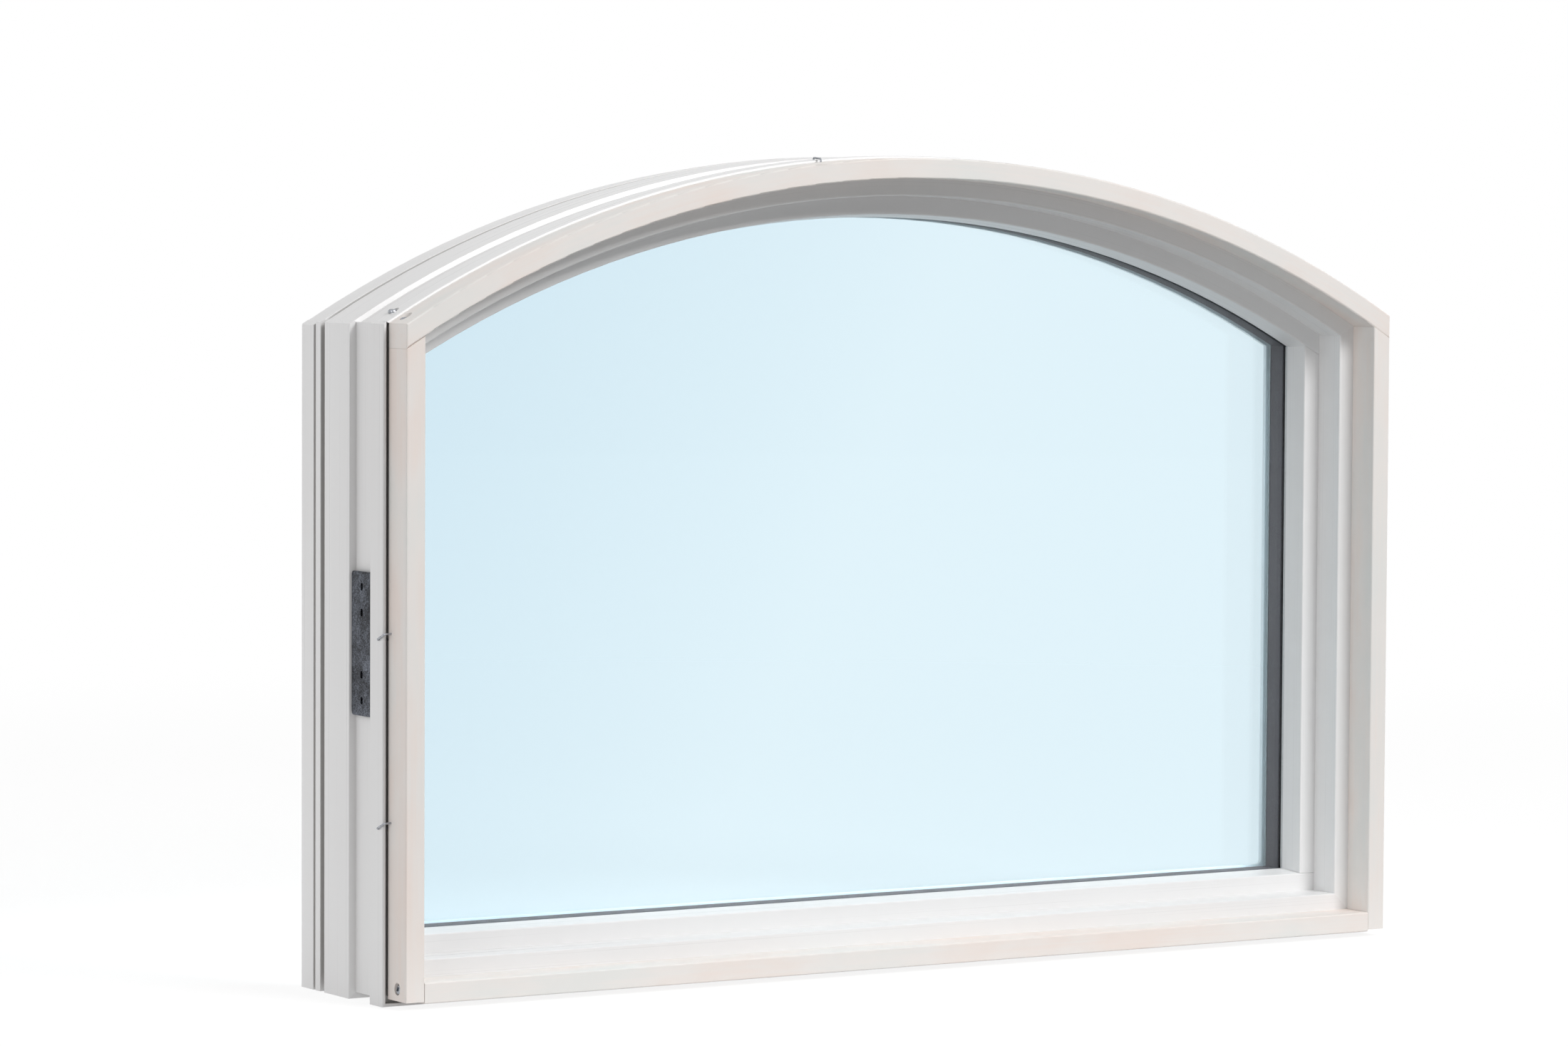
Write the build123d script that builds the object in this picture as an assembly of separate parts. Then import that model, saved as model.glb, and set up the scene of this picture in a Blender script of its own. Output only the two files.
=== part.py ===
from build123d import *
import math
import os

# Fixed arch-top window unit: a welded hollow PVC frame, insulating glass held from the room
# side by PVC beads, and a primed wood jamb extension. Millimetres, X right, Y towards the
# exterior, Z up, origin at the middle of the bottom of the bounding box.
# Around the opening every profile is drawn as (inset, depth): inset is measured inwards from
# the wood extension's outer face, depth outwards from its room-side face.

os.makedirs("parts", exist_ok=True)

# Overall size
width = 914.4               # outer width of the wood extension (36 in)
spring_height = 508.4       # wood's bottom to the outer corner where the arch starts (20 in)
rise = 126.0                # height of the arch above the spring line (5 in)
total_depth = 163.0

# Wood jamb extension
wood_thickness = 15.9
wood_depth = 28.6
wood_edge_radius = 1.2
jamb_foot_gap = 1.6         # the jamb boards stop a little above the sill board's bottom
joint_gap = 0.15            # open joints between boards, and between beads

# PVC frame profile
wall = 2.5
proud = 4.6                 # the frame stands this far outside the wood
recess_inset = 0.5
leg_thickness = 2.6
leg_back = 49.8
slot_inset = 3.0
slot_back = 36.0
block_front = 83.7
block_chamfer = 1.6
block_back = 124.6
groove_back = 131.1
groove_inset = 4.0
rib_back = 138.8
drip_back = 142.4
drip_depth = 1.6
shoulder_inset = 29.5
shoulder_back = 57.1
lip_inset = 47.1
lip_front = 110.2
lip_back = 114.3
bevel_top = (34.0, 124.0)
bevel_foot = (13.5, 156.0)
exterior_inset = 10.5
edge_round = 1.2
small_round = 0.6
bevel_round = 4.0
flats = 3                   # flats that make up each rounded profile corner
lip_corner_radius = 4.0

# Outer levels of the bent head, lower than on the straight members
head_leg = 1.8
head_block = 1.0
head_flange = -1.0
head_recess = 2.6

# Glazing
bead_front_inset = 44.1
bead_back_inset = 46.6
bead_back = 78.8
bead_wall = 1.6
gasket_inset = 46.1
gasket_root = 36.0
pane_thickness = 3.9
unit_thickness = 25.4
unit_front = 82.3
unit_edge_inset = 33.0
spacer_sight_inset = 46.0
spacer_height = 7.0
spacer_wall = 0.6
seal_gap = 0.5
seal_set_in = 1.0
tape_inset = 44.6
block_length = 100.0
block_spread = 200.0
side_block_heights = (90.0, 400.0)

# Mounting plates in the side recess
plate_height = 109.0
plate_centre = 266.3        # above the wood's bottom
plate_face = 3.2            # the plate's face stands this far outside the wood's outer face
plate_sheet = 1.5
plate_front = 51.0
plate_back = 82.0
plate_corner = 3.0
plate_slot_width = 3.5
plate_slot_length = 6.0
plate_slot_depth_line = 65.9
plate_slot_outer = 86.0
plate_slot_inner = 47.0

# Screws: set is measured inwards from the wood's outer face, depth from its room face
screw_head = 8.0
screw_head_height = 2.8
screw_head_round = 2.0
screw_shank = 4.0
screw_tip = 1.5
screw_socket = 3.2
screw_socket_depth = 1.8
pocket_play = 0.6
pocket_reach = 12.0         # how far a screw's pocket is cut above its head
pilot_play = 0.05
head_screw_length = 45.0
head_screw_set = 9.1
head_screw_depth = 18.8
head_screw_sink = 0.8
sill_screw_length = 30.0
sill_screw_tilt = 14.0
sill_screw_sink = 0.6
sill_screw_depth = 13.9
sill_screw_height = 10.6
leg_screw_length = 19.0
leg_screw_head = 7.2
leg_screw_set = 10.8
leg_screw_depth = 43.2
leg_screw_stand = 1.6

# Staples across the joint between frame and wood
staple_wire = 1.5
staple_leg = 5.0
staple_bend = 1.0
staple_play = 0.1           # between the wire and the frame's leg
staple_drop = 0.8           # the crown's fall from the leg towards the wood
staple_rise = 4.8
staple_back = 35.0
staple_front = 24.5
staple_heights = (274.0, 132.0)
head_staple_x = -81.0

# Drainage
weep_x = 300.0
weep_length = 24.0
weep_height = 4.0
weep_base = 6.0

half = width / 2
base = proud                                    # height of the wood's bottom
centre_depth = total_depth / 2
arch_radius = (half ** 2 + rise ** 2) / (2 * rise)
arch_centre = base + spring_height + rise - arch_radius
arch_axis = Axis((0, 0, arch_centre), (0, 1, 0))
reach = 80.0                                    # longer than any profile is high
core_radius = 200.0                             # inside every level of the arch
past = 2.0                                      # cuts run this far past what they cut
touch = 0.01
unit_back = unit_front + unit_thickness


def y_of(depth):
    return depth - centre_depth


def spring_z(inset):
    """Height where the head's level at this inset meets the jamb's level."""
    return arch_centre + math.sqrt((arch_radius - inset) ** 2 - (half - inset) ** 2)


def face_of(points):
    return make_face(Polyline(*points, close=True))


def rounded(outline):
    """The outline with each (inset, depth, radius) corner turned into short flats."""
    points = []
    for number, corner in enumerate(outline):
        spot = Vector(*corner[:2])
        if len(corner) == 2:
            points.append((spot.X, spot.Y))
            continue
        before = (Vector(*outline[number - 1][:2]) - spot).normalized()
        after = (Vector(*outline[(number + 1) % len(outline)][:2]) - spot).normalized()
        half_angle = math.acos(before.dot(after)) / 2
        middle = spot + (before + after).normalized() * corner[2] / math.sin(half_angle)
        start = spot + before * corner[2] / math.tan(half_angle) - middle
        turn = math.degrees(math.pi - 2 * half_angle)
        turn = turn if before.cross(after).Z < 0 else -turn
        for step in range(flats + 1):
            place = middle + start.rotate(Axis.Z, turn * step / flats)
            points.append((place.X, place.Y))
    return points


def section(outline, chambers, place):
    """A profile's outline less its chambers, each (inset, depth) point put in space."""
    result = face_of([place(*point) for point in rounded(outline)])
    for chamber in chambers:
        result = result - face_of([place(*point) for point in chamber])
    return result


def sill_bar(outline, chambers=(), length=width + 2 * reach):
    place = lambda inset, depth: (-length / 2, y_of(depth), base + inset)
    return extrude(section(outline, chambers, place), amount=length, dir=(1, 0, 0))


def left_bar(outline, chambers=(), top=base + spring_height + reach):
    place = lambda inset, depth: (-half + inset, y_of(depth), -reach)
    return extrude(section(outline, chambers, place), amount=top + reach, dir=(0, 0, 1))


def head_bar(outline, chambers=()):
    """The profile swept round the arch, far enough to pass both corners."""
    swing = math.degrees(math.asin((half + reach / 2) / arch_radius))
    place = lambda inset, depth: (0, y_of(depth), arch_centre + arch_radius - inset)
    start = section(outline, chambers, place).rotate(arch_axis, -swing)
    return revolve(start, arch_axis, 2 * swing)


def under_arch(levels):
    """Everything nearer the arch's centre than the stepped (inset, depth) levels."""
    front, back = levels[0][1], levels[-1][1]
    floor = arch_radius - core_radius
    points = [(floor, front), *levels, (floor, back)]
    place = lambda inset, depth: (0, y_of(depth), arch_centre + arch_radius - inset)
    ring = revolve(face_of([place(*point) for point in points]), arch_axis, 360)
    core = Cylinder(core_radius + past, back - front, rotation=(90, 0, 0))
    middle = y_of((front + back) / 2)
    return ring + Pos(0, middle, arch_centre) * core


def prism(points):
    """A block through the whole depth over an outline in X and Z."""
    outline = face_of([(x, -total_depth, z) for x, z in points])
    return extrude(outline, amount=2 * total_depth, dir=(0, 1, 0))


def mirrored(shape):
    return shape.mirror(Plane.YZ)


def save(node, *shapes):
    solids = [solid for shape in shapes for solid in shape.solids()]
    shape = solids[0] if len(solids) == 1 else Compound(children=solids)
    shape.label = node
    export_step(shape, f"parts/{node}.step")


# ---- regions that the members are cut to at their corners ----
inner = lip_inset + 3 * past
outer = -proud - past
above = base + spring_height + 2 * rise
inner_spring = spring_z(inner)
outer_spring = spring_z(0) + (spring_z(0) - inner_spring) * (-outer) / inner

sill_region = prism([
    (-half + outer, base + outer), (half - outer, base + outer),
    (half - inner, base + inner), (-half + inner, base + inner)])
left_region = prism([
    (-half + outer, base + outer), (-half + inner, base + inner),
    (-half + inner, inner_spring), (-half + outer, outer_spring)])
head_region = prism([
    (-half + outer, outer_spring), (-half + inner, inner_spring),
    (half - inner, inner_spring), (half - outer, outer_spring),
    (half - outer, above), (-half + outer, above)])


# ---- PVC frame ----
def frame_outline(leg, recess, block, flange):
    """The frame profile; leg, block and flange are proud of the wood, recess is set in."""
    return [
        (slot_inset, wood_depth), (shoulder_inset, wood_depth, edge_round),
        (shoulder_inset, lip_front), (lip_inset, lip_front, small_round),
        (lip_inset, lip_back, edge_round), (*bevel_top, bevel_round), (*bevel_foot, bevel_round),
        (exterior_inset, total_depth, edge_round), (-flange, total_depth, edge_round),
        (-flange, drip_back), (-flange + drip_depth, drip_back),
        (-flange + drip_depth, rib_back), (-block, rib_back), (-block, groove_back, small_round),
        (groove_inset, groove_back), (groove_inset, block_back), (-block, block_back, small_round),
        (-block, block_front, small_round), (recess, block_front - block_chamfer),
        (recess, leg_back), (-leg, leg_back, small_round), (-leg, wood_depth, edge_round),
        (-leg + leg_thickness, wood_depth, small_round), (-leg + leg_thickness, slot_back),
        (slot_inset, slot_back)]


def frame_chambers(leg, recess, block, flange):
    floor = shoulder_inset - wall
    front = [(slot_inset + wall, wood_depth + wall), (floor, wood_depth + wall),
             (floor, shoulder_back - wall), (slot_inset + wall, shoulder_back - wall)]
    leg_cell = [(wall - leg, slot_back + wall), (slot_inset, slot_back + wall),
                (slot_inset, leg_back - wall), (wall - leg, leg_back - wall)]
    seat = [(recess + wall, shoulder_back), (floor, shoulder_back),
            (floor, block_front - wall), (recess + wall, block_front - wall)]
    middle = [(wall - block, block_front + wall), (floor, block_front + wall),
              (floor, lip_front - wall), (wall - block, lip_front - wall)]
    lip = [(wall - block, lip_front), (floor, lip_front), (floor, lip_front + wall),
           (lip_inset - wall, lip_front + wall), (lip_inset - wall, lip_back - wall / 2),
           (bevel_top[0] - wall, block_back - wall), (wall - block, block_back - wall)]
    rear = [(drip_depth - flange + wall, groove_back + wall),
            (drip_depth - flange + wall, total_depth - wall),
            (exterior_inset - wall / 2, total_depth - wall),
            (bevel_foot[0] - wall, bevel_foot[1] - wall / 2),
            (bevel_top[0] - 4 * wall, groove_back + wall)]
    return [front, leg_cell, seat, middle, lip, rear]


straight = (proud, recess_inset, proud, proud)
bent = (head_leg, head_recess, head_block, head_flange)

frame_sill = sill_bar(frame_outline(*straight), frame_chambers(*straight)) & sill_region
frame_left = left_bar(frame_outline(*straight), frame_chambers(*straight)) & left_region
frame_head = head_bar(frame_outline(*bent), frame_chambers(*bent)) & head_region

# The jambs are trimmed to the head's lower levels and plated over where that opens a chamber
head_levels = [
    (-head_leg, 0), (-head_leg, leg_back), (-head_block, leg_back), (-head_block, rib_back),
    (-head_flange, rib_back), (-head_flange, total_depth)]
under_plating = under_arch([(inset + wall, depth) for inset, depth in head_levels])
plating = (left_bar(frame_outline(*straight)) & left_region) - under_plating
frame_left = (frame_left + plating) & under_arch(head_levels)

# Rounded inner corner where the jamb's lip meets the sill's
corner_x, corner_z = -half + lip_inset, base + lip_inset
lip_depth = lip_back - lip_front
lip_middle = y_of((lip_front + lip_back) / 2)
patch = Pos(corner_x + lip_corner_radius / 2, lip_middle, corner_z + lip_corner_radius / 2)
patch = patch * Box(lip_corner_radius, lip_depth - edge_round, lip_corner_radius)
sweep_round = Pos(corner_x + lip_corner_radius, lip_middle, corner_z + lip_corner_radius)
patch = patch - sweep_round * Cylinder(lip_corner_radius, 2 * lip_depth, rotation=(90, 0, 0))
frame_left = frame_left + (patch & left_region)
frame_sill = frame_sill + (patch & sill_region) + (mirrored(patch) & sill_region)

# Drain slots: one through the sill's exterior wall, one through the rebate floor, each side
for side in (-1, 1):
    outlet = Pos(side * weep_x, y_of(total_depth), weep_base + weep_height / 2)
    outlet = outlet * Box(weep_length, 3 * wall, weep_height)
    inlet = Pos(side * weep_x, y_of(lip_front - 4 * wall), base + shoulder_inset)
    inlet = inlet * Box(weep_length, weep_height, 3 * wall)
    frame_sill = frame_sill - outlet - inlet


# ---- glazing beads and gaskets ----
bead_outline = [
    (shoulder_inset, shoulder_back), (bead_front_inset, shoulder_back, edge_round),
    (bead_back_inset, bead_back, small_round), (shoulder_inset, bead_back)]
bead_cell = [
    (shoulder_inset + bead_wall, shoulder_back + bead_wall),
    (bead_front_inset - bead_wall, shoulder_back + bead_wall),
    (bead_back_inset - bead_wall, bead_back - bead_wall),
    (shoulder_inset + bead_wall, bead_back - bead_wall)]
gasket_outline = [
    (gasket_root, bead_back), (gasket_inset, bead_back),
    (gasket_inset - small_round, unit_front), (gasket_root, unit_front)]
bead_levels = [(bead_front_inset, shoulder_back), (bead_back_inset, bead_back)]
gasket_levels = [(gasket_inset, bead_back), (gasket_inset, unit_front)]


def glazing_strip(outline, cell, levels, inset):
    """Head and sill strips run through; the side strips stand between them."""
    clear = half - inset
    low = spring_z(0) - reach
    head = head_bar(outline, cell) & prism([(-clear, low), (clear, low), (clear, above), (-clear, above)])
    sill = sill_bar(outline, cell, 2 * clear)
    joint = [(inset + joint_gap, depth) for inset, depth in levels]
    under_sill = [(-2 * reach, levels[0][1]), *joint, (-2 * reach, levels[1][1])]
    side = (left_bar(outline, cell) & under_arch(joint)) - sill_bar(under_sill)
    return head, side, sill


bead_head, bead_left, bead_sill = glazing_strip(bead_outline, [bead_cell], bead_levels, shoulder_inset)
gasket_head, gasket_left, gasket_sill = glazing_strip(gasket_outline, [], gasket_levels, gasket_root)


# ---- insulating glass ----
def arch_sheet(inset, front, back):
    """A flat sheet with the window's shape, its edge at this inset."""
    side = half - inset
    shoulder = spring_z(inset)
    crown = arch_centre + arch_radius - inset
    y = y_of(front)
    edges = Polyline(
        (-side, y, shoulder), (-side, y, base + inset), (side, y, base + inset), (side, y, shoulder))
    arc = ThreePointArc((side, y, shoulder), (0, y, crown), (-side, y, shoulder))
    return extrude(make_face(edges + arc), amount=back - front, dir=(0, 1, 0))


def arch_ring(outer_inset, inner_inset, front, back):
    return arch_sheet(outer_inset, front, back) - arch_sheet(inner_inset, front - past, back + past)


gap_front = unit_front + pane_thickness
gap_back = unit_back - pane_thickness
spacer_root = spacer_sight_inset - spacer_height
pane_interior = arch_sheet(unit_edge_inset, unit_front, gap_front)
pane_exterior = arch_sheet(unit_edge_inset, gap_back, unit_back)
cavity = (spacer_root + spacer_wall, spacer_sight_inset - spacer_wall,
          gap_front + seal_gap + spacer_wall, gap_back - seal_gap - spacer_wall)
spacer = arch_ring(spacer_root, spacer_sight_inset, gap_front + seal_gap, gap_back - seal_gap)
spacer = spacer - arch_ring(*cavity)
desiccant = arch_ring(
    cavity[0] + seal_gap, cavity[1] - seal_gap, cavity[2] + seal_gap, cavity[3] - seal_gap)
butyl_root, butyl_sight = spacer_root + seal_set_in, spacer_sight_inset - seal_set_in
butyl_front = arch_ring(butyl_root, butyl_sight, gap_front, gap_front + seal_gap)
butyl_back = arch_ring(butyl_root, butyl_sight, gap_back - seal_gap, gap_back)
edge_seal = arch_ring(unit_edge_inset, spacer_root, gap_front, gap_back)
glazing_tape = arch_ring(unit_edge_inset + seal_set_in, tape_inset, unit_back, lip_front)

block_rise = unit_edge_inset - shoulder_inset
block_y = y_of((unit_front + unit_back) / 2)
setting_blocks = [
    Pos(side * block_spread, block_y, base + shoulder_inset + block_rise / 2)
    * Box(block_length, unit_thickness, block_rise) for side in (-1, 1)]
side_blocks = [
    Pos(side * (half - shoulder_inset - block_rise / 2), block_y, base + height)
    * Box(block_rise, unit_thickness, block_length / 2)
    for side in (-1, 1) for height in side_block_heights]


# ---- wood jamb extension ----
board = [(0, 0), (wood_thickness, 0), (wood_thickness, wood_depth), (0, wood_depth)]
jamb_top = [(wood_thickness + joint_gap, 0), (wood_thickness + joint_gap, wood_depth)]


def board_section(place):
    """A board's outline with its two room-side corners eased."""
    outline = face_of([place(*point) for point in board])
    front = [corner for corner in outline.vertices() if abs(corner.Y - y_of(0)) < touch]
    return fillet(front, wood_edge_radius)


def arch_height(radius, x):
    return arch_centre + math.sqrt(radius ** 2 - x ** 2)


room_y = y_of(0)
head_radii = (arch_radius, arch_radius - wood_thickness)
end_top, end_bottom = [arch_height(radius, half) for radius in head_radii]
crown_top, crown_bottom = [arch_centre + radius for radius in head_radii]
head_outline = (
    ThreePointArc((-half, room_y, end_top), (0, room_y, crown_top), (half, room_y, end_top))
    + Line((half, room_y, end_top), (half, room_y, end_bottom))
    + ThreePointArc((half, room_y, end_bottom), (0, room_y, crown_bottom), (-half, room_y, end_bottom))
    + Line((-half, room_y, end_bottom), (-half, room_y, end_top)))
extension_head = extrude(make_face(head_outline), amount=wood_depth, dir=(0, 1, 0))
room_edges = [edge for edge in extension_head.edges() if abs(edge.center().Y - room_y) < touch]
extension_head = fillet(room_edges, wood_edge_radius)

foot_z = base + jamb_foot_gap
jamb_section = board_section(lambda inset, depth: (-half + inset, y_of(depth), foot_z))
extension_left = extrude(jamb_section, amount=spring_height + reach, dir=(0, 0, 1)) & under_arch(jamb_top)

sill_length = width - 2 * (wood_thickness + joint_gap)
sill_section = board_section(lambda inset, depth: (-sill_length / 2, y_of(depth), base + inset))
extension_sill = extrude(sill_section, amount=sill_length, dir=(1, 0, 0))


# ---- screws ----
def screw(length, head_radius=screw_head / 2):
    """Points along -Z from the top of its head at the origin, with a square socket."""
    head = Pos(0, 0, -screw_head_height / 2) * Cylinder(head_radius, screw_head_height)
    rim = head.edges().filter_by(GeomType.CIRCLE).sort_by(Axis.Z)[-1]
    head = fillet(rim, screw_head_round)
    shank_length = length - screw_head_height
    shank = Pos(0, 0, -screw_head_height - shank_length / 2) * Cylinder(screw_shank / 2, shank_length)
    shank = chamfer(shank.edges().filter_by(GeomType.CIRCLE).sort_by(Axis.Z)[0], screw_tip)
    socket = Pos(0, 0, -screw_socket_depth / 2) * Box(screw_socket, screw_socket, screw_socket_depth)
    return head + shank - socket


def screw_room(length, pocket=pocket_reach):
    """Pilot hole and the pocket round the head, cut this far above it."""
    pilot = Pos(0, 0, -length / 2) * Cylinder(screw_shank / 2 + pilot_play, length + past / 2)
    pocket_height = screw_head_height + pocket
    middle = Pos(0, 0, pocket - pocket_height / 2)
    return pilot + middle * Cylinder(screw_head / 2 + pocket_play, pocket_height)


head_screws = []
head_screw_x = half - head_screw_set
head_screw_z = arch_height(arch_radius, head_screw_x) - head_screw_sink
for side in (-1, 1):
    place = Pos(side * head_screw_x, y_of(head_screw_depth), head_screw_z)
    head_screws.append(place * screw(head_screw_length))
    extension_head = extension_head - place * screw_room(head_screw_length)
    if side == -1:
        extension_left = extension_left - place * screw_room(head_screw_length, 0)

sill_screws = []
for side in (-1, 1):
    turn = Rot(0, side * (90 - sill_screw_tilt), 0)
    middle = Pos(side * (half - sill_screw_sink), y_of(sill_screw_depth), base + sill_screw_height)
    place = middle * turn
    sill_screws.append(place * screw(sill_screw_length))
    extension_sill = extension_sill - place * screw_room(sill_screw_length)
    if side == -1:
        extension_left = extension_left - place * screw_room(sill_screw_length)

leg_screws = []
leg_screw_x = half - leg_screw_set
leg_screw_z = arch_height(arch_radius + head_leg, leg_screw_x) + leg_screw_stand
for side in (-1, 1):
    place = Pos(side * leg_screw_x, y_of(leg_screw_depth), leg_screw_z)
    leg_screws.append(place * screw(leg_screw_length, leg_screw_head / 2))
    frame_head = frame_head - place * screw_room(leg_screw_length)
    if side == -1:
        frame_left = frame_left - place * screw_room(leg_screw_length)


# ---- staples across the joint between frame and wood ----
def staple(leg_level, slant=staple_rise):
    """One leg in the frame's leg, the crown down across the joint, the other leg in the wood,
    in a frame where X is outwards from the wood's outer face, Y depth, Z along the joint."""
    rise_half = slant / 2
    radius = staple_wire / 2
    crown = leg_level + radius + staple_play
    path = FilletPolyline(
        (-staple_leg, staple_back, -rise_half), (crown + staple_drop, staple_back, -rise_half),
        (crown, staple_front, rise_half), (-staple_leg, staple_front, rise_half),
        radius=staple_bend)
    start = Plane(origin=path @ 0, z_dir=path % 0)
    return sweep(start * Circle(radius), path=path)


def staple_room(slant=staple_rise):
    drill = staple_wire / 2 + pilot_play
    hole = Pos(-staple_leg / 2, 0, 0) * Cylinder(drill, 4 * staple_leg, rotation=(0, 90, 0))
    back = Pos(0, staple_back, -slant / 2) * hole
    front = Pos(0, staple_front, slant / 2) * hole
    return back + front


staples = []
for height in staple_heights:
    place = Pos(-half, -centre_depth, base + height)
    left_staple = place * staple(proud).mirror(Plane.YZ)
    left_room = place * staple_room().mirror(Plane.YZ)
    staples += [left_staple, mirrored(left_staple)]
    frame_left = frame_left - left_room
    extension_left = extension_left - left_room

place = Pos(head_staple_x, -centre_depth, arch_height(arch_radius, head_staple_x)) * Rot(0, -90, 0)
staples.append(place * staple(head_leg, 0))
frame_head = frame_head - place * staple_room(0)
extension_head = extension_head - place * staple_room(0)

frame_right = mirrored(frame_left)
extension_right = mirrored(extension_left)
bead_right = mirrored(bead_left)
gasket_right = mirrored(gasket_left)


# ---- mounting plates: a shallow channel in the recess behind the leg ----
plate_z = base + plate_centre
plate_mid = (plate_front + plate_back) / 2
plate_width = plate_back - plate_front
plate_rise = plate_face + recess_inset
middle = Pos(-half - plate_face + plate_rise / 2, y_of(plate_mid), plate_z)
body = middle * Box(plate_rise, plate_width, plate_height)
body = fillet(body.edges().filter_by(Axis.X), plate_corner)
hollow = Pos(plate_sheet, 0, 0) * Box(plate_rise, plate_width - 2 * plate_sheet, plate_height * 2)
plate_left = body - middle * hollow
slot_outline = Plane.YZ * SlotOverall(plate_slot_length, plate_slot_width, rotation=90)
slot = extrude(slot_outline, amount=reach, both=True)
for spacing in (plate_slot_outer, plate_slot_inner):
    for side in (-1, 1):
        place = Pos(-half, y_of(plate_slot_depth_line), plate_z + side * spacing / 2)
        plate_left = plate_left - place * slot
plate_right = mirrored(plate_left)


save("frame_head", frame_head)
save("frame_jamb_left", frame_left)
save("frame_jamb_right", frame_right)
save("frame_sill", frame_sill)
save("bead_head", bead_head)
save("bead_left", bead_left)
save("bead_right", bead_right)
save("bead_sill", bead_sill)
save("gasket_head", gasket_head)
save("gasket_left", gasket_left)
save("gasket_right", gasket_right)
save("gasket_sill", gasket_sill)
save("pane_interior", pane_interior)
save("pane_exterior", pane_exterior)
save("spacer_bar", spacer)
save("desiccant", desiccant)
save("butyl_seal", butyl_front, butyl_back)
save("edge_seal", edge_seal)
save("glazing_tape", glazing_tape)
save("setting_blocks", *setting_blocks)
save("side_blocks", *side_blocks)
save("extension_head", extension_head)
save("extension_jamb_left", extension_left)
save("extension_jamb_right", extension_right)
save("extension_sill", extension_sill)
save("head_screws", *head_screws)
save("sill_screws", *sill_screws)
save("leg_screws", *leg_screws)
save("staples", *staples)
save("mounting_plate_left", plate_left)
save("mounting_plate_right", plate_right)
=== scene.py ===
import math

import bmesh
import bpy
from mathutils import Matrix, Vector


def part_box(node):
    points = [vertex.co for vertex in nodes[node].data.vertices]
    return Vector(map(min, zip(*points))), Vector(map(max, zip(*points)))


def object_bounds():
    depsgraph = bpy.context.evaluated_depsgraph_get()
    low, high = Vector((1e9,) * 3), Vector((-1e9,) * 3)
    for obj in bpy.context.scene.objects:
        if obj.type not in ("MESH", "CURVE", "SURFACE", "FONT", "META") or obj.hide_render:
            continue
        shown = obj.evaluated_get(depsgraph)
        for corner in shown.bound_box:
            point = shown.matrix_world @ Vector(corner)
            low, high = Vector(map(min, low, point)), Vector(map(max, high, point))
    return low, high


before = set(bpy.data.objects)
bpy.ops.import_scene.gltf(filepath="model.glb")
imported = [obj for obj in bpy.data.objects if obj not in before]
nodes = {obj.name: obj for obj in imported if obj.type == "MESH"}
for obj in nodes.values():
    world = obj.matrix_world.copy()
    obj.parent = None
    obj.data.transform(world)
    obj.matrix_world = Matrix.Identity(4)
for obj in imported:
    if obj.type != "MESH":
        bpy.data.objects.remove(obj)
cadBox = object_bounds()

mm = 0.001
noiseLow, noiseHigh = 0.3, 0.7      # nearly all of a noise pattern lies between these
mixLow, mixHigh = 0.35, 0.65        # where a noise pattern changes from one colour to the other


# sRGB hex to the linear colour that the shaders want
def linear(hexColour):
    channels = [int(hexColour[i:i + 2], 16) / 255 for i in (1, 3, 5)]
    return tuple(c / 12.92 if c <= 0.04045 else ((c + 0.055) / 1.055) ** 2.4 for c in channels) + (1.0,)


# adds a node: settings are its properties, inputs are values or sockets to link from
def addNode(owner, kind, inputs=None, stops=None, **settings):
    tree = owner.node_tree
    node = tree.nodes.new("ShaderNode" + kind)
    for name, value in settings.items():
        setattr(node, name, value)
    if stops:
        elements = node.color_ramp.elements
        while len(elements) < len(stops):
            elements.new(1.0)
        for element, (position, colour) in zip(elements, stops):
            element.position = position
            element.color = linear(colour)
    for name, value in (inputs or {}).items():
        if isinstance(value, bpy.types.NodeSocket):
            tree.links.new(value, node.inputs[name])
        else:
            node.inputs[name].default_value = value
    return node


def newMaterial(name):
    material = bpy.data.materials.new(name)
    material.use_nodes = True
    material.node_tree.nodes.clear()
    return material


def finishMaterial(material, shader):
    addNode(material, "OutputMaterial", {"Surface": shader})
    return material


# the arch's radius and centre height, from the head board's box and the jamb board's thickness
def archFromBoards():
    low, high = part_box("extension_head")
    jambLow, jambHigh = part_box("extension_jamb_left")
    board = jambHigh.x - jambLow.x
    half = (high.x - low.x) / 2
    drop = high.z - low.z
    radius = (drop ** 2 + half ** 2 - board ** 2) / (2 * (drop - board))
    return radius, high.z - radius


archRadius, archCentre = archFromBoards()
print("frame loaded, arch radius", round(archRadius, 4))


# gives (across, across, along) in metres for a member that lies along z, along x, or round the arch
def memberCoords(material, run):
    place = addNode(material, "TexCoord").outputs["Object"]
    axes = addNode(material, "SeparateXYZ", {"Vector": place}).outputs
    if run == "z":
        return place
    if run == "x":
        turned = addNode(material, "CombineXYZ", {"X": axes["Z"], "Y": axes["Y"], "Z": axes["X"]})
        return turned.outputs["Vector"]
    height = addNode(material, "Math", {0: axes["Z"], 1: archCentre}, operation="SUBTRACT").outputs[0]
    angle = addNode(material, "Math", {0: axes["X"], 1: height}, operation="ARCTAN2").outputs[0]
    along = addNode(material, "Math", {0: angle, 1: archRadius}, operation="MULTIPLY").outputs[0]
    flat = addNode(material, "CombineXYZ", {"X": axes["X"], "Z": height}).outputs["Vector"]
    level = addNode(material, "VectorMath", {0: flat}, operation="LENGTH").outputs["Value"]
    return addNode(material, "CombineXYZ", {"X": level, "Y": axes["Y"], "Z": along}).outputs["Vector"]


# a noise pattern whose marks are this many metres wide across and along the member
def stretchedNoise(material, coords, across, along, detail=2.0, roughness=0.5, distortion=0.0):
    scaled = addNode(material, "VectorMath", {0: coords, 1: (1 / across, 1 / across, 1 / along)},
                     operation="MULTIPLY").outputs["Vector"]
    return addNode(material, "TexNoise", {"Vector": scaled, "Scale": 1.0, "Detail": detail,
                   "Roughness": roughness, "Distortion": distortion}).outputs["Fac"]


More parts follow.
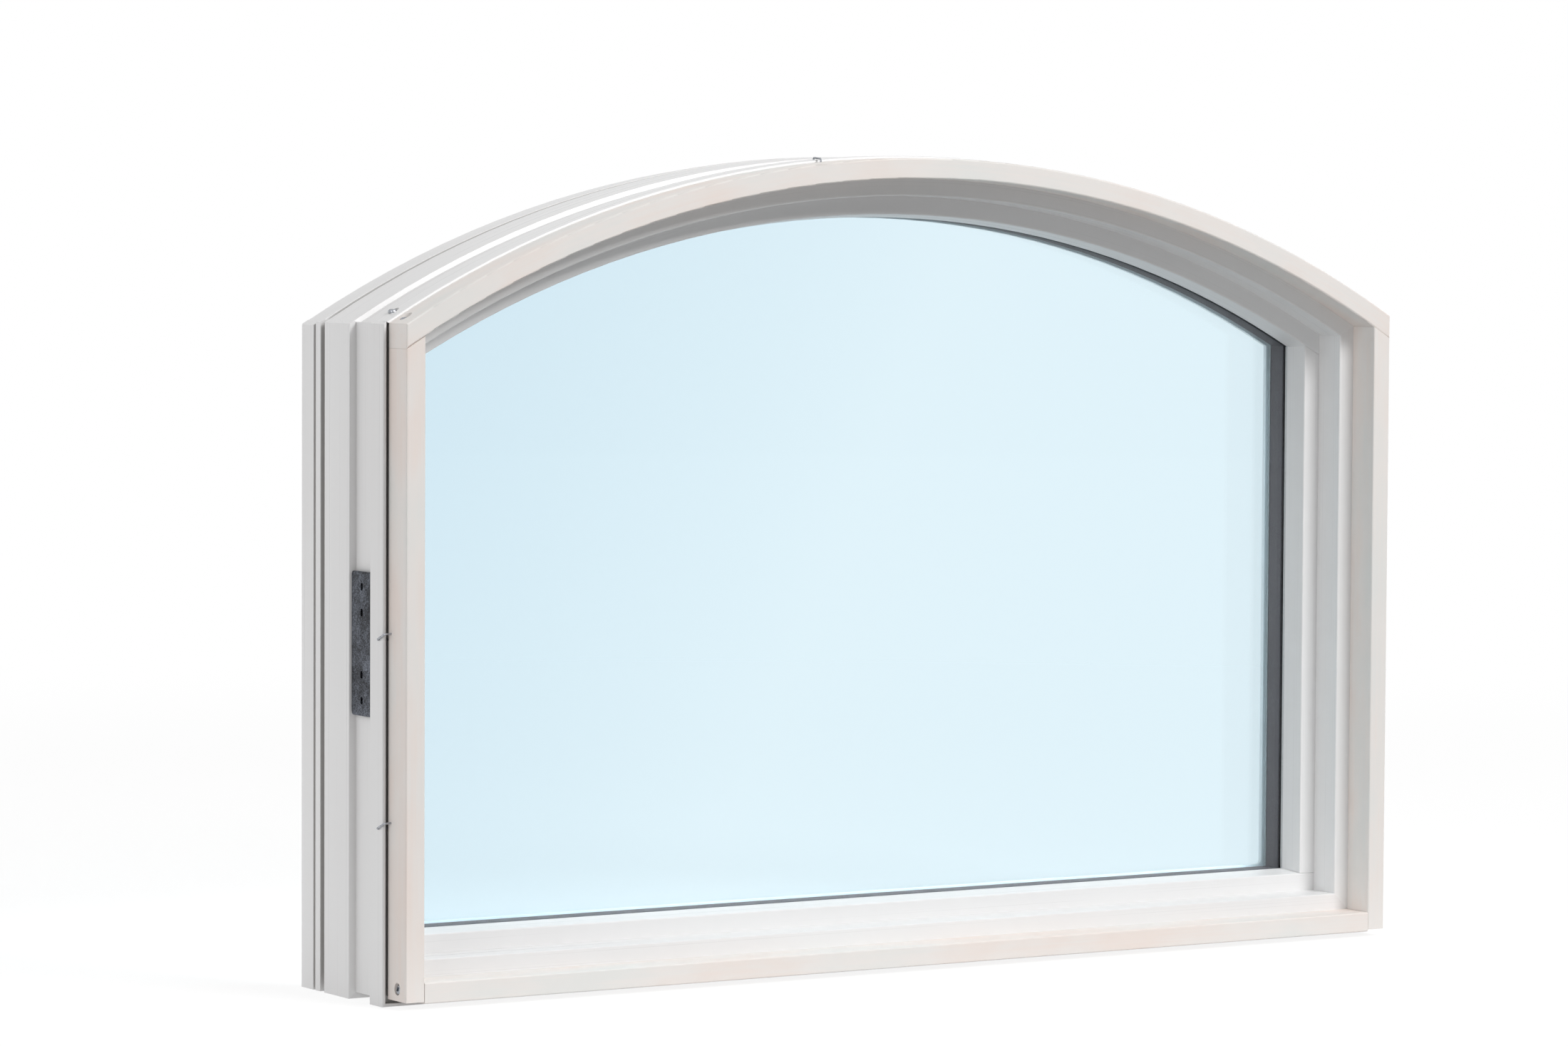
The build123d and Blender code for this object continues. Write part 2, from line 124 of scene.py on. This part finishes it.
pvcLook = {
    "white": "#F0F0F0",
    "shade": "#EBEAEA",
    "ior": 1.53,
    "creviceShade": "#B9B7B5",           # painted shade: the grey that grooves and inner corners darken towards
    # how far out the painted shade looks for walls
    "creviceShadeReach": 14 * mm,
    "creviceShadeBand": (0.35, 0.85),    # how open a spot is when it takes the full painted shade, and when it takes none
    "patch": 140 * mm,
    "patchLength": 420 * mm,
    "dieLine": 1.1 * mm,         # real lines are about 0.3 mm apart, drawn coarser so that they show
    "dieLineLength": 700 * mm,
    "dieLineDepth": 0.012 * mm,
    "peel": 2.2 * mm,
    "peelLength": 4.4 * mm,
    "peelDepth": 0.006 * mm,
    "gloss": (0.26, 0.38),
}


# uPVC, hot extruded through a polished die: soft sheen with faint straight lines along the bar
def extrudedPvc(run):
    look = pvcLook
    material = newMaterial("extruded_pvc_" + run)
    coords = memberCoords(material, run)
    patches = stretchedNoise(material, coords, look["patch"], look["patchLength"])
    lines = stretchedNoise(material, coords, look["dieLine"], look["dieLineLength"], detail=3.0)
    peel = stretchedNoise(material, coords, look["peel"], look["peelLength"], detail=1.0)
    colour = addNode(material, "ValToRGB", {"Fac": patches},
                     stops=[(mixLow, look["shade"]), (mixHigh, look["white"])]).outputs["Color"]
    # painted shade: the colour darkens where the profile's own walls stand close together, as ambient
    # occlusion finds them
    openness = addNode(material, "AmbientOcclusion", {"Distance": look["creviceShadeReach"]}, samples=8,
                       only_local=True).outputs["AO"]
    fullShade, clear = look["creviceShadeBand"]
    unshaded = addNode(material, "MapRange", {"Value": openness, "From Min": fullShade,
                    "From Max": clear}).outputs["Result"]
    shadedColour = addNode(material, "Mix", {0: unshaded, 6: linear(look["creviceShade"]), 7: colour},
                     data_type="RGBA").outputs[2]
    low, high = look["gloss"]
    gloss = addNode(material, "MapRange", {"Value": lines, "From Min": noiseLow, "From Max": noiseHigh,
                    "To Min": low, "To Max": high}).outputs["Result"]
    peelBump = addNode(material, "Bump", {"Height": peel, "Strength": 1.0, "Distance": look["peelDepth"]})
    bump = addNode(material, "Bump", {"Height": lines, "Strength": 1.0, "Distance": look["dieLineDepth"],
                   "Normal": peelBump.outputs["Normal"]})
    shader = addNode(material, "BsdfPrincipled", {"Base Color": shadedColour, "Roughness": gloss,
                     "IOR": look["ior"], "Normal": bump.outputs["Normal"]})
    return finishMaterial(material, shader.outputs["BSDF"])


pineLook = {
    "primer": "#F0EBE7",
    "warm": "#F1E5DE",
    "cool": "#EBEAE7",
    "toneStops": (0.42, 0.56, 0.74),     # where cool, primer and warm lie on the tone
    "ior": 1.5,
    "blotch": 55 * mm,
    "blotchLength": 137.5 * mm,
    "grain": 2.6 * mm,
    "grainLength": 130 * mm,
    "grainDepth": 0.05 * mm,
    "grainShare": 0.18,       # of the grain in the tone, beside the blotches
    "grainWander": 0.6,
    "stipple": 1.4 * mm,      # primer stipple is about 0.5 mm, drawn coarser so that it shows
    "stippleDepth": 0.012 * mm,
    "gloss": (0.42, 0.6),
}


# pine with a sprayed factory primer: soft warm white, peach where the coat is thin, the grain just showing
def primedPine(run):
    look = pineLook
    material = newMaterial("primed_pine_" + run)
    coords = memberCoords(material, run)
    blotches = stretchedNoise(material, coords, look["blotch"], look["blotchLength"], detail=3.0)
    grain = stretchedNoise(material, coords, look["grain"], look["grainLength"], detail=4.0,
                           distortion=look["grainWander"])
    stipple = stretchedNoise(material, coords, look["stipple"], look["stipple"], detail=2.0)
    tone = addNode(material, "Math", {0: grain, 1: look["grainShare"], 2: blotches},
                   operation="MULTIPLY_ADD").outputs[0]
    shades = (look["cool"], look["primer"], look["warm"])
    colour = addNode(material, "ValToRGB", {"Fac": tone},
                     stops=list(zip(look["toneStops"], shades))).outputs["Color"]
    low, high = look["gloss"]
    gloss = addNode(material, "MapRange", {"Value": stipple, "From Min": noiseLow, "From Max": noiseHigh,
                    "To Min": low, "To Max": high}).outputs["Result"]
    stippleBump = addNode(material, "Bump", {"Height": stipple, "Strength": 1.0,
                          "Distance": look["stippleDepth"]})
    bump = addNode(material, "Bump", {"Height": grain, "Strength": 1.0, "Distance": look["grainDepth"],
                   "Normal": stippleBump.outputs["Normal"]})
    shader = addNode(material, "BsdfPrincipled", {"Base Color": colour, "Roughness": gloss,
                     "IOR": look["ior"], "Normal": bump.outputs["Normal"]})
    return finishMaterial(material, shader.outputs["BSDF"])


glassLook = {
    "tint": "#EFF9FD",
    "deep": "#E6F3F9",
    "shadow": "#F8F9F9",      # the faint tone that the pane gives to light passing through
    "tintFadeRight": 0.8,         # how much paler the tint gets towards the right and towards the foot
    "tintFadeDown": 0.25,
    "tintFadeStops": (0.05, 0.5),
    "ior": 1.52,
    "waviness": 260 * mm,
    "wave": 0.002 * mm,
}


# soda-lime float glass with a soft coat: clear, faintly blue, very slightly wavy from the tin bath
def floatGlass():
    look = glassLook
    material = newMaterial("float_glass")
    coords = addNode(material, "TexCoord").outputs["Object"]
    drift = addNode(material, "TexNoise", {"Vector": coords, "Scale": 1 / look["waviness"], "Detail": 1.0})
    # the tint is a little deeper towards the upper left, paler towards the right and the foot
    low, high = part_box("pane_interior")
    axes = addNode(material, "SeparateXYZ", {"Vector": coords}).outputs
    rightward = addNode(material, "MapRange", {"Value": axes["X"], "From Min": low.x, "From Max": high.x,
                        "To Min": 0.0, "To Max": look["tintFadeRight"]}).outputs["Result"]
    downward = addNode(material, "MapRange", {"Value": axes["Z"], "From Min": high.z, "From Max": low.z,
                       "To Min": 0.0, "To Max": look["tintFadeDown"]}).outputs["Result"]
    paling = addNode(material, "Math", {0: rightward, 1: downward}, operation="ADD").outputs[0]
    deepEnd, paleEnd = look["tintFadeStops"]
    tint = addNode(material, "ValToRGB", {"Fac": paling},
                   stops=[(deepEnd, look["deep"]), (paleEnd, look["tint"])]).outputs["Color"]
    wave = addNode(material, "Bump", {"Height": drift.outputs["Fac"], "Strength": 1.0,
                   "Distance": look["wave"]})
    pane = addNode(material, "BsdfPrincipled", {"Base Color": tint, "Roughness": 0.0, "IOR": look["ior"],
                   "Transmission Weight": 1.0, "Normal": wave.outputs["Normal"]})
    clear = addNode(material, "BsdfTransparent", {"Color": linear(look["shadow"])})
    # light passes straight through to what is behind, so that the pane casts no solid shadow
    rays = addNode(material, "LightPath").outputs["Is Shadow Ray"]
    mixed = addNode(material, "MixShader", {"Fac": rays, 1: pane.outputs["BSDF"], 2: clear.outputs["BSDF"]})
    return finishMaterial(material, mixed.outputs["Shader"])


sealLook = {
    "gasket": {"name": "extruded_gasket_pvc", "dark": "#C2C4C5", "light": "#CCCDCE",
               "rough": (0.5, 0.62), "grain": 1.5 * mm},
    "spacer": {"name": "matte_foam_spacer", "dark": "#453F43", "light": "#5B5357",
               "rough": (0.6, 0.75), "grain": 1.2 * mm},
    "butyl": {"name": "hot_applied_butyl", "dark": "#1B1B1D", "light": "#26262A",
              "rough": (0.3, 0.5), "grain": 4 * mm},
    "seal": {"name": "gunned_silicone", "dark": "#2E2E31", "light": "#3B3B3F",
             "rough": (0.35, 0.5), "grain": 5 * mm},
    "tape": {"name": "closed_cell_foam_tape", "dark": "#A9ABAC", "light": "#BDBFC0",
             "rough": (0.75, 0.9), "grain": 0.9 * mm},
    "block": {"name": "moulded_epdm", "dark": "#242426", "light": "#303033",
              "rough": (0.55, 0.7), "grain": 1.0 * mm},
    "desiccant": {"name": "molecular_sieve_beads", "dark": "#B8AB96", "light": "#D2C8B5",
                  "rough": (0.8, 0.95), "grain": 1.3 * mm},
}
sealIor = 1.5
sealGrainSlope = 1 / 40       # a grain's height over its width


# soft sealing materials: nearly matt, a fine even grain, no sharp highlights
def softSeal(part):
    look = sealLook[part]
    material = newMaterial(look["name"])
    coords = addNode(material, "TexCoord").outputs["Object"]
    grain = addNode(material, "TexNoise", {"Vector": coords, "Scale": 1 / look["grain"], "Detail": 3.0})
    colour = addNode(material, "ValToRGB", {"Fac": grain.outputs["Fac"]},
                     stops=[(mixLow, look["dark"]), (mixHigh, look["light"])]).outputs["Color"]
    low, high = look["rough"]
    gloss = addNode(material, "MapRange", {"Value": grain.outputs["Fac"], "From Min": noiseLow,
                    "From Max": noiseHigh, "To Min": low, "To Max": high}).outputs["Result"]
    bump = addNode(material, "Bump", {"Height": grain.outputs["Fac"], "Strength": 1.0,
                   "Distance": look["grain"] * sealGrainSlope})
    shader = addNode(material, "BsdfPrincipled", {"Base Color": colour, "Roughness": gloss, "IOR": sealIor,
                     "Normal": bump.outputs["Normal"]})
    return finishMaterial(material, shader.outputs["BSDF"])


plateLook = {
    "dark": "#191B21",
    "light": "#7A808C",
    "toneStops": (0.68, 0.98),
    "speck": 0.9 * mm,
    "cloud": 18 * mm,
    "cloudShare": 0.5,        # of the clouds in the tone, beside the specks
    "scratch": 0.7 * mm,
    "scratchLength": 22 * mm,
    "scratchDepth": 0.02 * mm,
    "gloss": (0.22, 0.5),
}


# hot-dip galvanised sheet, stamped: dark blue-grey with bright specks and clouds, scuffed along its length
def galvanisedSheet():
    look = plateLook
    material = newMaterial("galvanised_sheet")
    coords = addNode(material, "TexCoord").outputs["Object"]
    specks = addNode(material, "TexNoise", {"Vector": coords, "Scale": 1 / look["speck"],
                     "Detail": 3.0, "Roughness": 0.7}).outputs["Fac"]
    scuffs = stretchedNoise(material, coords, look["scratch"], look["scratchLength"], detail=4.0,
                            roughness=0.6)
    cloud = addNode(material, "TexNoise", {"Vector": coords, "Scale": 1 / look["cloud"],
                    "Detail": 5.0, "Roughness": 0.65}).outputs["Fac"]
    tone = addNode(material, "Math", {0: cloud, 1: look["cloudShare"], 2: specks},
                   operation="MULTIPLY_ADD").outputs[0]
    darkest, lightest = look["toneStops"]
    colour = addNode(material, "ValToRGB", {"Fac": tone},
                     stops=[(darkest, look["dark"]), (lightest, look["light"])]).outputs["Color"]
    low, high = look["gloss"]
    gloss = addNode(material, "MapRange", {"Value": scuffs, "From Min": noiseLow, "From Max": noiseHigh,
                    "To Min": low, "To Max": high}).outputs["Result"]
    bump = addNode(material, "Bump", {"Height": scuffs, "Strength": 1.0, "Distance": look["scratchDepth"]})
    shader = addNode(material, "BsdfPrincipled", {"Base Color": colour, "Metallic": 1.0, "Roughness": gloss,
                     "Normal": bump.outputs["Normal"]})
    return finishMaterial(material, shader.outputs["BSDF"])


fastenerLook = {
    "zinc": "#B9BCC1",
    "dull": "#85888E",
    "mottle": 1.6 * mm,
    "mottleDepth": 0.01 * mm,
    "gloss": (0.25, 0.45),
}


# electroplated steel wire and screws: bright grey, slightly mottled by handling
def platedSteel():
    look = fastenerLook
    material = newMaterial("zinc_plated_steel")
    coords = addNode(material, "TexCoord").outputs["Object"]
    mottle = addNode(material, "TexNoise", {"Vector": coords, "Scale": 1 / look["mottle"], "Detail": 4.0})
    colour = addNode(material, "ValToRGB", {"Fac": mottle.outputs["Fac"]},
                     stops=[(mixLow, look["dull"]), (mixHigh, look["zinc"])]).outputs["Color"]
    low, high = look["gloss"]
    gloss = addNode(material, "MapRange", {"Value": mottle.outputs["Fac"], "From Min": noiseLow,
                    "From Max": noiseHigh, "To Min": low, "To Max": high}).outputs["Result"]
    bump = addNode(material, "Bump", {"Height": mottle.outputs["Fac"], "Strength": 1.0,
                   "Distance": look["mottleDepth"]})
    shader = addNode(material, "BsdfPrincipled", {"Base Color": colour, "Metallic": 1.0, "Roughness": gloss,
                     "Normal": bump.outputs["Normal"]})
    return finishMaterial(material, shader.outputs["BSDF"])


pvcUp, pvcLevel, pvcArch = [extrudedPvc(run) for run in ("z", "x", "arch")]
pineUp, pineLevel, pineArch = [primedPine(run) for run in ("z", "x", "arch")]
glass = floatGlass()
sealing = {part: softSeal(part) for part in sealLook}
zincSheet = galvanisedSheet()
zincSteel = platedSteel()

nodeMaterials = {
    "frame_head": pvcArch, "frame_sill": pvcLevel,
    "frame_jamb_left": pvcUp, "frame_jamb_right": pvcUp,
    "bead_head": pvcArch, "bead_sill": pvcLevel, "bead_left": pvcUp, "bead_right": pvcUp,
    "gasket_head": sealing["gasket"], "gasket_sill": sealing["gasket"],
    "gasket_left": sealing["gasket"], "gasket_right": sealing["gasket"],
    "pane_interior": glass, "pane_exterior": glass,
    "spacer_bar": sealing["spacer"], "desiccant": sealing["desiccant"],
    "butyl_seal": sealing["butyl"], "edge_seal": sealing["seal"], "glazing_tape": sealing["tape"],
    "setting_blocks": sealing["block"], "side_blocks": sealing["block"],
    "extension_head": pineArch, "extension_sill": pineLevel,
    "extension_jamb_left": pineUp, "extension_jamb_right": pineUp,
    "head_screws": zincSteel, "sill_screws": zincSteel, "leg_screws": zincSteel, "staples": zincSteel,
    "mounting_plate_left": zincSheet, "mounting_plate_right": zincSheet,
}
for nodeName, material in nodeMaterials.items():
    slots = nodes[nodeName].data.materials
    slots.clear()
    slots.append(material)
print("materials made and given to", len(nodeMaterials), "nodes")


floorLook = {
    "radius": 9.0,
    "segments": 96,
    "fibre": 10 / 3 * mm,
    "fibreDepth": 0.2 * mm,
    "fibreStrength": 0.2,
    "shade": "#838383",       # how strongly the paper takes shadows
    "lift": 0.83,             # glow that keeps it white to the eye
    "bounce": ("#979797", "#F0F0F0"),     # in front of the window, behind it
    "bounceTurn": 0.4,        # metres before and behind the window over which the bounce changes
    "glow": 0.55,             # glow behind the window that lifts the undersides
    "fade": (1.2, 3.0),       # metres out: from the first it fades, beyond the second it is plain white
}


# white paper: plain white to the eye, and a softer bounce for the light that the window catches from it
def studioFloor():
    material = newMaterial("white_paper_floor")
    coords = addNode(material, "TexCoord").outputs["Object"]
    fibre = addNode(material, "TexNoise", {"Vector": coords, "Scale": 1 / floorLook["fibre"],
                    "Detail": 2.0})
    bump = addNode(material, "Bump", {"Height": fibre.outputs["Fac"],
                   "Strength": floorLook["fibreStrength"], "Distance": floorLook["fibreDepth"]})
    paper = addNode(material, "BsdfDiffuse", {"Color": linear(floorLook["shade"]),
                    "Normal": bump.outputs["Normal"]})
    glow = addNode(material, "Emission", {"Strength": floorLook["lift"]})
    near = addNode(material, "AddShader", {0: paper.outputs["BSDF"], 1: glow.outputs["Emission"]})
    distance = addNode(material, "VectorMath", {0: coords}, operation="LENGTH").outputs["Value"]
    fadeFrom, fadeTo = floorLook["fade"]
    fade = addNode(material, "MapRange", {"Value": distance, "From Min": fadeFrom, "From Max": fadeTo},
                   interpolation_type="SMOOTHSTEP").outputs["Result"]
    white = addNode(material, "Emission", {"Strength": 1.0}).outputs["Emission"]
    seen = addNode(material, "MixShader", {"Fac": fade, 1: near.outputs["Shader"], 2: white})
    depth = addNode(material, "SeparateXYZ", {"Vector": coords}).outputs["Y"]
    behind = addNode(material, "MapRange", {"Value": depth, "From Min": -floorLook["bounceTurn"],
                     "From Max": floorLook["bounceTurn"]}).outputs["Result"]
    frontTone, backTone = floorLook["bounce"]
    tone = addNode(material, "ValToRGB", {"Fac": behind}, stops=[(0.0, frontTone), (1.0, backTone)])
    diffuse = addNode(material, "BsdfDiffuse", {"Color": tone.outputs["Color"]})
    backGlow = addNode(material, "Math", {0: behind, 1: floorLook["glow"]},
                       operation="MULTIPLY").outputs[0]
    lifted = addNode(material, "Emission", {"Strength": backGlow})
    bounce = addNode(material, "AddShader", {0: diffuse.outputs["BSDF"], 1: lifted.outputs["Emission"]})
    rays = addNode(material, "LightPath").outputs
    direct = addNode(material, "Math", {0: rays["Is Camera Ray"], 1: rays["Is Transmission Ray"]},
                     operation="MAXIMUM").outputs[0]
    watched = addNode(material, "Math", {0: direct, 1: rays["Is Glossy Ray"]},
                      operation="MAXIMUM").outputs[0]
    paperShader = addNode(material, "MixShader", {"Fac": watched, 1: bounce.outputs["Shader"],
                          2: seen.outputs["Shader"]})
    finishMaterial(material, paperShader.outputs["Shader"])
    mesh = bpy.data.meshes.new("studio_floor")
    form = bmesh.new()
    bmesh.ops.create_circle(form, cap_ends=True, segments=floorLook["segments"],
                            radius=floorLook["radius"])
    form.to_mesh(mesh)
    form.free()
    mesh.materials.append(material)
    floor = bpy.data.objects.new("studio_floor", mesh)
    bpy.context.scene.collection.objects.link(floor)


skyLook = {
    "front": 0.13,            # light from the room side, as a white surface would show it
    "back": 0.9,
    "top": 0.02,              # added towards straight above
    "turn": (-0.3, 1.0),      # the light changes from front to back between these directions
    "mirror": 0.9,            # what bright metal and gloss reflect
}


# soft white room: it looks plain white, and its light is stronger from behind the window than from the front
def studioSky():
    world = bpy.data.worlds.new("studio_sky")
    bpy.context.scene.world = world
    world.use_nodes = True
    world.node_tree.nodes.clear()
    direction = addNode(world, "TexCoord").outputs["Generated"]
    axes = addNode(world, "SeparateXYZ", {"Vector": direction}).outputs
    front, back = skyLook["turn"]
    depth = addNode(world, "MapRange", {"Value": axes["Y"], "From Min": front, "From Max": back,
                    "To Min": skyLook["front"], "To Max": skyLook["back"]}).outputs["Result"]
    upper = addNode(world, "MapRange", {"Value": axes["Z"], "From Min": 0.0, "From Max": 1.0,
                    "To Min": 0.0, "To Max": skyLook["top"]}).outputs["Result"]
    light = addNode(world, "Math", {0: depth, 1: upper}, operation="ADD").outputs[0]
    rays = addNode(world, "LightPath").outputs
    soft = addNode(world, "Mix", {0: rays["Is Glossy Ray"], 2: light, 3: skyLook["mirror"]},
                   data_type="FLOAT").outputs[0]
    seen = addNode(world, "Math", {0: rays["Is Camera Ray"], 1: rays["Is Transmission Ray"]},
                   operation="MAXIMUM").outputs[0]
    strength = addNode(world, "Mix", {0: seen, 2: soft, 3: 1.0}, data_type="FLOAT").outputs[0]
    background = addNode(world, "Background", {"Color": (1, 1, 1, 1), "Strength": strength})
    addNode(world, "OutputWorld", {"Surface": background.outputs["Background"]})


lamps = {                     # metres from the window's middle, and watts
    "key": {"place": (1.39, -4.0, 3.1), "size": 2.0, "power": 194.0},
    "fill": {"place": (-4.6, -2.2, 2.2), "size": 3.0, "power": 62.0},
}


# a square lamp that looks at the window's middle
def softBox(name, centre, place, size, power):
    light = bpy.data.lights.new(name, "AREA")
    light.shape = "SQUARE"
    light.size = size
    light.energy = power
    lamp = bpy.data.objects.new(name, light)
    bpy.context.scene.collection.objects.link(lamp)
    lamp.location = centre + Vector(place)
    lamp.rotation_euler = (centre - lamp.location).to_track_quat("-Z", "Y").to_euler()


view = {
    "lens": 134.77,
    "sensor": 36.0,
    "turn": 0.553,            # radians to the right of straight in
    "tilt": 0.0564,           # radians down
    "roll": 0.0053,
    "distance": 4.67084,
    "aim": (-55.5 * mm, 35.9 * mm, 28.73 * mm),      # from the window's middle
    "farthest": 100.0,
}


def setCamera(centre):
    turn, tilt, roll = view["turn"], view["tilt"], view["roll"]
    forward = Vector((math.sin(turn) * math.cos(tilt), math.cos(turn) * math.cos(tilt), -math.sin(tilt)))
    level = Vector((math.cos(turn), -math.sin(turn), 0.0))
    upright = level.cross(forward)
    right = math.cos(roll) * level + math.sin(roll) * upright
    up = math.cos(roll) * upright - math.sin(roll) * level
    data = bpy.data.cameras.new("camera")
    data.lens = view["lens"]
    data.sensor_width = view["sensor"]
    data.clip_end = view["farthest"]
    camera = bpy.data.objects.new("camera", data)
    bpy.context.scene.collection.objects.link(camera)
    place = centre + Vector(view["aim"]) - forward * view["distance"]
    camera.matrix_world = Matrix.Translation(place) @ Matrix((right, up, -forward)).transposed().to_4x4()
    bpy.context.scene.camera = camera


centre = (cadBox[0] + cadBox[1]) / 2
studioFloor()
studioSky()
for name, lamp in lamps.items():
    softBox(name, centre, **lamp)
setCamera(centre)
bpy.context.scene.view_settings.view_transform = "Standard"
print("studio ready")
